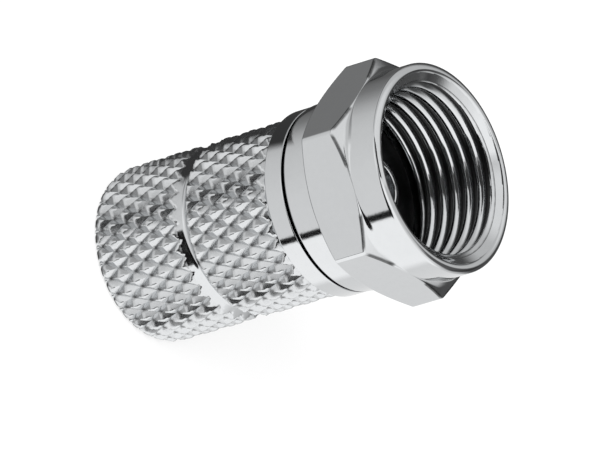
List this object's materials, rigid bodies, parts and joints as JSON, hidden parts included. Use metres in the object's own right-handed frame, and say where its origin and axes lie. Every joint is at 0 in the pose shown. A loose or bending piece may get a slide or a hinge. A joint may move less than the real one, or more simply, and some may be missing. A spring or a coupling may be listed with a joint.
{
  "type": "f connector",
  "caption": "Twist-on F connector for coaxial cable: hexagonal coupling nut with an internal thread, turning on a diamond-knurled sleeve.",
  "frame": {"origin": "centre of the sleeve's rear face, which the part stands on", "axes": "+Z along the connector's axis, from the cable end towards the mouth of the nut; one pair of the nut's corners lies on the X axis"},
  "size_m": [0.0126, 0.011, 0.0193],
  "materials": {
    "sleeve_plating": "bright nickel plate over a diamond knurl",
    "ferrule_plating": "bright nickel plate",
    "nut_plating": "bright nickel plate, turned"
  },
  "bodies": {
    "sleeve_body": {"sleeve": "sleeve_plating", "ferrule": "ferrule_plating"},
    "nut_body": {"coupling_nut": "nut_plating"}
  },
  "joints": [
    {"name": "nut_spin", "type": "hinge", "parent": "sleeve_body", "child": "nut_body", "pos_m": [0, 0, 0.0132], "axis": [0, 0, 1], "continuous": true}
  ]
}
